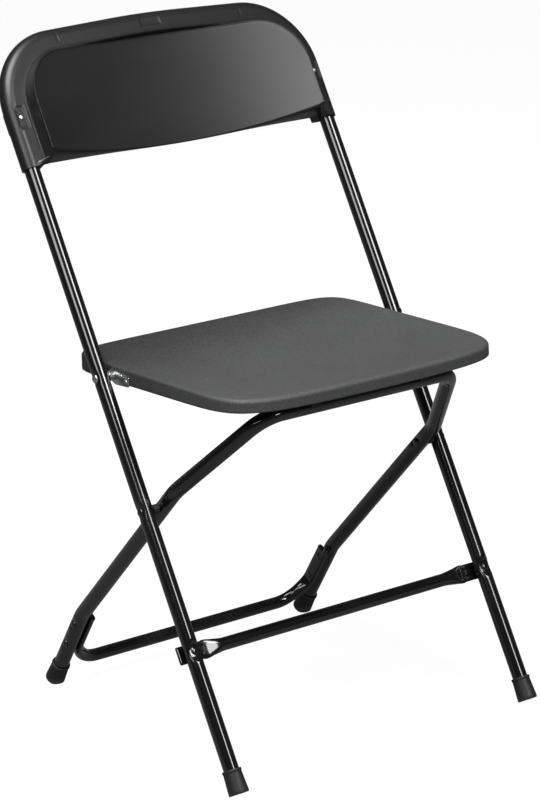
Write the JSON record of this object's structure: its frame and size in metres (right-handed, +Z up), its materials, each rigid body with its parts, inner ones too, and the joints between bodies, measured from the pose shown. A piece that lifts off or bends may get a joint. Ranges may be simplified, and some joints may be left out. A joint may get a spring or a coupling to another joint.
{
  "type": "folding chair",
  "caption": "Folding chair: bent tube front frame with a moulded curved backrest, crossing rear frame, moulded dished seat pan and rubber foot caps.",
  "frame": {"origin": "on the floor, under the middle of the open chair's overall box", "axes": "+X across the chair to the viewer's right as seen from the front, -Y towards the front of the chair, +Z up; the chair is symmetric across X = 0"},
  "size_m": [0.452, 0.486, 0.7795],
  "materials": {
    "black_paint": "gloss black powder coat on steel tube",
    "seat_plastic": "charcoal moulded plastic with a fine pebble grain",
    "back_plastic": "satin black moulded plastic",
    "foot_rubber": "black rubber, slightly scuffed",
    "black_nylon": "black nylon",
    "zinc_plate": "bright zinc plated steel"
  },
  "bodies": {
    "front_frame": {"front_frame_tube": "black_paint", "front_brace": "black_paint", "front_brace_rivet_left": "black_paint", "front_brace_rivet_right": "black_paint", "backrest_panel": "back_plastic", "backrest_rivet_left": "zinc_plate", "backrest_rivet_right": "zinc_plate", "front_foot_left": "foot_rubber", "front_foot_right": "foot_rubber", "leg_pivot_rivet_left": "zinc_plate", "leg_pivot_rivet_right": "zinc_plate", "leg_pivot_spacer_left": "black_nylon", "leg_pivot_spacer_right": "black_nylon", "seat_pivot_rivet_left": "zinc_plate", "seat_pivot_rivet_right": "zinc_plate", "seat_pivot_spacer_left": "zinc_plate", "seat_pivot_spacer_right": "zinc_plate"},
    "seat": {"seat_pan": "seat_plastic", "seat_rail_left": "black_nylon", "seat_rail_right": "black_nylon", "seat_bracket_left": "zinc_plate", "seat_bracket_right": "zinc_plate", "seat_bracket_rivet_left_front": "zinc_plate", "seat_bracket_rivet_left_rear": "zinc_plate", "seat_bracket_rivet_right_front": "zinc_plate", "seat_bracket_rivet_right_rear": "zinc_plate"},
    "rear_frame": {"rear_frame_tube": "black_paint", "rear_brace": "black_paint", "rear_brace_rivet_left_upper": "black_paint", "rear_brace_rivet_left_lower": "black_paint", "rear_brace_rivet_right_upper": "black_paint", "rear_brace_rivet_right_lower": "black_paint", "rear_foot_left": "foot_rubber", "rear_foot_right": "foot_rubber"}
  },
  "joints": [
    {"name": "rear_frame_fold", "type": "hinge", "parent": "front_frame", "child": "rear_frame", "pos_m": [0, -0.06289, 0.28494], "axis": [-1, 0, 0], "range_deg": [0, 62.77]},
    {"name": "seat_fold", "type": "hinge", "parent": "front_frame", "child": "seat", "pos_m": [0, 0.01946, 0.42048], "axis": [-1, 0, 0], "range_deg": [0, 107.51]}
  ],
  "couplings": [
    {"joint": "seat_fold", "follows": "rear_frame_fold", "ratio": 1.7126}
  ]
}
